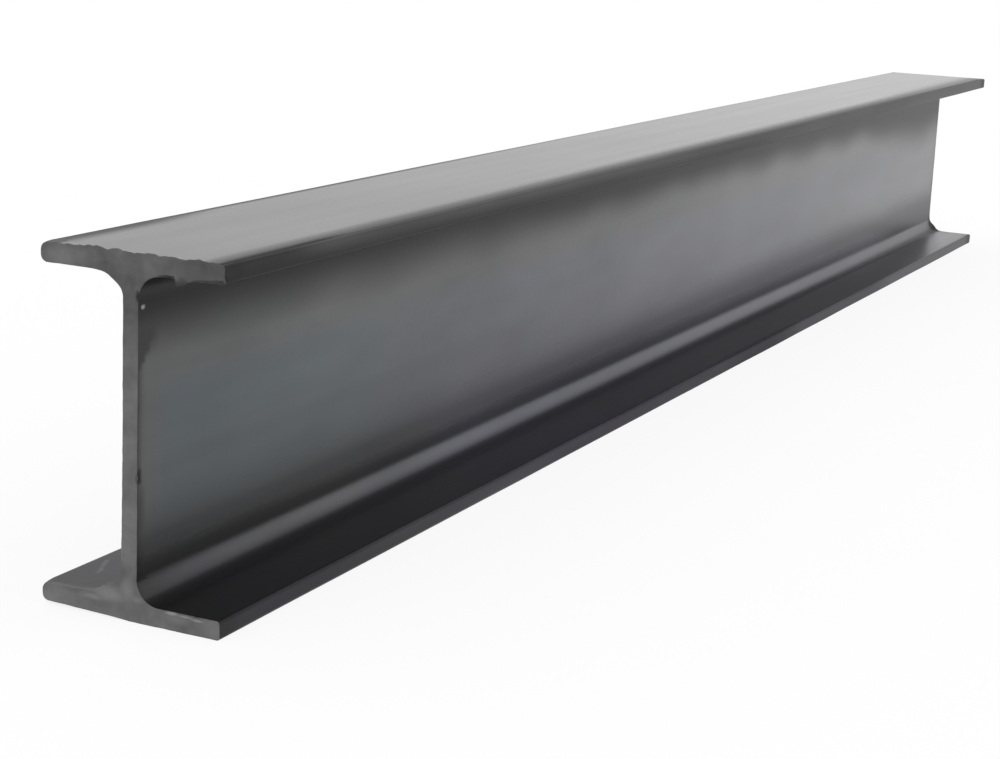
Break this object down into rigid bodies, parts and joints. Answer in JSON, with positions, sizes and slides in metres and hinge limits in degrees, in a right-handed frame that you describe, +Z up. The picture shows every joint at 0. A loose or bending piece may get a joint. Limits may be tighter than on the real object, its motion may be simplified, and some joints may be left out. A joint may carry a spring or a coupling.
{
  "type": "steel h-beam",
  "caption": "Short length of hot-rolled steel H-beam: parallel flanges on a thin web, rounded roots and toes, sawn square at the ends, for frames, lintels and bearers.",
  "frame": {"origin": "midway along the beam, under the web, on the underside of the bottom flange", "axes": "+X along the beam, +Y across the flanges, +Z up along the web"},
  "size_m": [0.84, 0.057, 0.1],
  "materials": {
    "hot_rolled_steel": "hot-rolled mill scale, dark blue-grey and half matt, bare sawn steel at the ends"
  },
  "bodies": {
    "root": {"h_beam": "hot_rolled_steel"}
  },
  "joints": []
}
